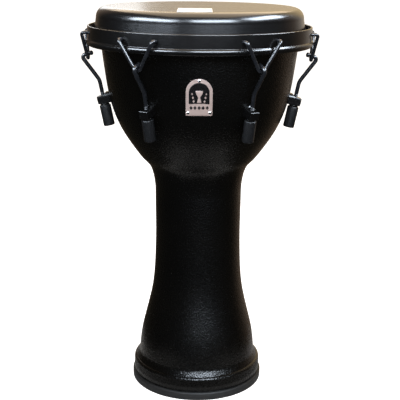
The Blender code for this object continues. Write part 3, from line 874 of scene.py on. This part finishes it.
def build_badge(metal, black, bright):
    """The arched plate, its black field with a plain drum figure, a row of diamonds, and its rivets."""
    low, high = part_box("badge")
    half = (high.x - low.x) / 2
    front = GAP + BADGE_THICKNESS

    def on_bowl(x, z, height):
        return front_frame(x, z) @ Vector((0, 0, height))

    def add_plate(name, outline_at, levels, material):
        return add_piece(name, make_mesh(name, plaque(outline_at, levels, on_bowl, 1.5 * MM)), material)

    def whole(inset):
        return arch_outline(half - inset, low.z + inset, high.z - inset, BADGE_CORNER - inset)

    plate = add_plate("badge_plate", whole, [(0.45 * MM, front), (0.15 * MM, front - 0.1 * MM),
                                             (0, front - 0.35 * MM), (0, GAP)], metal)
    stands_for(plate, "badge")

    field_low = low.z + FIELD_LOW
    field_high = high.z - FIELD_TOP

    def field(inset):
        return arch_outline(half - FIELD_SIDE - inset, field_low + inset, field_high - inset, 0.8 * MM)

    raised = [(0.08 * MM, front + 0.12 * MM), (0, front + 0.06 * MM), (0, front - 0.2 * MM)]
    trims(add_plate("badge_field", field, raised, black), "badge")

    def figure(inset):
        scale = 1 - inset / (8 * MM)
        return [(x * scale, field_low + 2.2 * MM + y * scale) for x, y in drum_outline()]

    on_field = [(0.05 * MM, front + 0.26 * MM), (0, front + 0.2 * MM), (0, front)]
    trims(add_plate("badge_figure", figure, on_field, metal), "badge")

    marks = []
    for side in (-1, 1):
        for step in range(3):
            spot = (side * (7.2 + 1.1 * step) * MM, field_low + (4.0 + 5.0 * step) * MM)
            marks.append((spot, (1.5 - 0.2 * step) * MM, 1.9 * MM, metal, on_field))
    for step in range(-2, 3):
        spot = (step * 5.4 * MM, low.z + DIAMOND_HEIGHT)
        marks.append((spot, 2.2 * MM, 2.9 * MM, black, raised))
    rows = {}
    for (x, y), wide, tall, material, levels in marks:
        def diamond(inset, x=x, y=y, wide=wide, tall=tall):
            wide, tall = wide - inset, tall - inset
            return [(x + wide, y), (x, y + tall), (x - wide, y), (x, y - tall)]
        shape = plaque(diamond, levels, on_bowl, 1.5 * MM)
        rows.setdefault(material.name, (material, []))[1].append(shape)
    for name, (material, shapes) in rows.items():
        trims(add_piece("diamonds_" + name, make_mesh("diamonds", joined(*shapes)), material), "badge")

    dome = arc((0, 0), 1.0, 90, 0, 6)
    outline = [(RIVET_HEAD * x, front + 0.1 * MM + RIVET_DOME * y) for x, y in dome]
    rivet = make_mesh("rivet_dome", lathe(outline + [(0, front + 0.1 * MM)], SMALL_STEPS, closed=False))
    foot = low.z + RIVET_LOW
    spots = [(0, high.z - RIVET_TOP), (RIVET_SIDE - half, foot), (half - RIVET_SIDE, foot)]
    for number, (x, z) in enumerate(spots, 1):
        piece = add_piece(f"rivet_dome_{number}", rivet, bright, front_frame(x, z))
        stands_for(piece, f"badge_rivet_{number}")


# ---------------------------------------------------------------- kept CAD nodes

def refinish(prefix, material):
    """A better material on CAD nodes whose shape is already right."""
    for name, node in frame["nodes"].items():
        if name.startswith(prefix):
            node.data.materials.clear()
            node.data.materials.append(material)


# ---------------------------------------------------------------- stage, light and camera

def add_floor(name, half, height, material):
    corners = [(-half, -half, height), (half, -half, height), (half, half, height), (-half, half, height)]
    floor = add_piece(name, make_mesh(name, (corners, [(0, 1, 2, 3)])), material)
    floor.visible_diffuse = False
    return floor


def build_stage():
    """A wide white floor for the camera, and just under it a dimmer patch that only reflections show."""
    floor = add_floor("floor", FLOOR_HALF, 0, pale_floor("pale_floor", 0.97))
    floor.visible_glossy = False
    glow = add_floor("floor_glow", GLOW_HALF, -MM, pale_floor("floor_glow", 0.25, 0.55))
    glow.visible_camera = False


def softbox(name, azimuth, elevation, distance, size, radiance, colour, aim=HEAD_TOP):
    """A rectangular area light towards an azimuth from the drum's front, facing its aim."""
    turn, lift = math.radians(azimuth), math.radians(elevation)
    way = Vector((math.sin(turn) * math.cos(lift), -math.cos(turn) * math.cos(lift), math.sin(lift)))
    data = bpy.data.lights.new(name, "AREA")
    data.shape = "RECTANGLE"
    data.size, data.size_y = size
    data.energy = radiance * math.pi * size[0] * size[1]
    data.color = colour
    light = bpy.data.objects.new(name, data)
    bpy.context.scene.collection.objects.link(light)
    light.location = Vector(aim) + way * distance
    light.rotation_mode = "QUATERNION"
    light.rotation_quaternion = (-way).to_track_quat("-Z", "Y")
    light.visible_camera = False
    return light


def spare_shell(light):
    """Keep this light off the shell and the foot ring, which mirror the middle window only."""
    spared = bpy.data.collections.new(light.name + "_spares")
    for name in ("shell_moulding", "foot_ring_rubber"):
        spared.objects.link(bpy.data.objects[name])
    light.light_linking.receiver_collection = spared
    for member in spared.collection_objects:
        member.light_linking.link_state = "EXCLUDE"


def build_lights():
    """Windows and canopy are only mirrored, fill and ceiling only light what is matt, back_left does both."""
    for side, (azimuth, elevation, width) in WINDOWS.items():
        window = softbox(f"{side}_window", azimuth, elevation, WINDOW_DISTANCE, (width, WINDOW_HEIGHT),
                         WINDOW_RADIANCE, WINDOW_COLOUR)
        window.visible_diffuse = False
        if side != "middle":
            spare_shell(window)
    softbox("back_left", 192, 12, 2.6, (0.6, 0.5), 3.1, (0.94, 0.97, 1.0))
    canopy = softbox("canopy", 180, 68, 2.1, (2.4, 3.9), 3.6, (1.0, 0.79, 0.56))
    canopy.visible_diffuse = False
    spare_shell(canopy)
    softbox("fill", 0, 8, 2.6, (1.8, 1.2), 8.0, (1.0, 0.97, 0.94), aim=LOWER_BOWL).visible_glossy = False
    softbox("ceiling", 0, 80, 1.6, (1.2, 1.2), 7.5, (1.0, 1.0, 1.0)).visible_glossy = False


def build_room():
    """White behind the floor to the camera. To everything else, a dim room that is warm at the back."""
    world = bpy.data.worlds.new("studio")
    bpy.context.scene.world = world
    world.use_nodes = True
    tree = world.node_tree

    def node(kind):
        return tree.nodes.new("ShaderNode" + kind)

    place, along, position, ramp = node("TexCoord"), node("VectorMath"), node("MapRange"), node("ValToRGB")
    room, white = tree.nodes["Background"], node("Background")
    paths, blend = node("LightPath"), node("MixShader")
    along.operation = "DOT_PRODUCT"
    along.inputs[1].default_value = ROOM_WAY
    position.inputs["From Min"].default_value = -1.0
    stops = ramp.color_ramp.elements
    while len(stops) < len(ROOM):
        stops.new(1.0)
    for stop, (spot, colour) in zip(stops, ROOM):
        stop.position = spot
        stop.color = (*colour, 1.0)
    room.inputs["Strength"].default_value = ROOM_STRENGTH
    white.inputs["Color"].default_value = (1.0, 1.0, 1.0, 1.0)
    white.inputs["Strength"].default_value = BACKDROP_STRENGTH
    for output, socket in ((place.outputs["Generated"], along.inputs[0]),
                           (along.outputs["Value"], position.inputs["Value"]),
                           (position.outputs["Result"], ramp.inputs[0]),
                           (ramp.outputs["Color"], room.inputs["Color"]),
                           (paths.outputs["Is Camera Ray"], blend.inputs[0]),
                           (room.outputs[0], blend.inputs[1]),
                           (white.outputs[0], blend.inputs[2]),
                           (blend.outputs[0], tree.nodes["World Output"].inputs["Surface"])):
        tree.links.new(output, socket)


def build_camera():
    """At the viewing angle of a person's eye in front of the drum, looking a little down."""
    data = bpy.data.cameras.new("camera")
    data.sensor_width = 36.0
    data.lens = LENS
    camera = bpy.data.objects.new("camera", data)
    bpy.context.scene.collection.objects.link(camera)
    camera.location = EYE
    down = math.radians(LOOK_DOWN)
    look = Vector((LOOK_ASIDE, math.cos(down), -math.sin(down)))
    lean = Quaternion((0, 0, 1), math.radians(CAMERA_LEAN))
    camera.rotation_mode = "QUATERNION"
    camera.rotation_quaternion = look.to_track_quat("-Z", "Y") @ lean
    bpy.context.scene.camera = camera
    bpy.context.scene.view_settings.view_transform = "Standard"


# ---------------------------------------------------------------- the drum

coat = powder_coat("black_coat", (0.003, 0.003, 0.0032), (0.0055, 0.0055, 0.006), 0.24)
# The hooks' and rods' coat is the same black powder coat, made lighter and bluer than the lug coat: painted sheen
# in place of the wires' highlights.
wire_coat = powder_coat("wire_coat", (0.01, 0.012, 0.016), (0.02, 0.023, 0.03), 0.26)
badge_metal = brushed_badge()
rivet_steel = bare_metal("rivet_steel", (0.8, 0.8, 0.82), (0.92, 0.92, 0.93), 0.12, 0.22)

build_shell(shell_plastic())
build_foot_ring(foot_rubber())
build_head(head_film())
build_label(paper(), pale_print())
build_tension_hoop(coat)
build_stations(coat, wire_coat, nut_black())
build_badge(badge_metal, enamel(), rivet_steel)
refinish("flesh_hoop", bare_metal("hoop_alloy", (0.26, 0.26, 0.27), (0.36, 0.36, 0.37), 0.4, 0.55))
zinc = bare_metal("zinc_steel", (0.5, 0.5, 0.47), (0.66, 0.66, 0.64), 0.28, 0.42)
refinish("lug_bolt", zinc)
refinish("bolt_washer", zinc)

build_stage()
build_lights()
build_room()
build_camera()
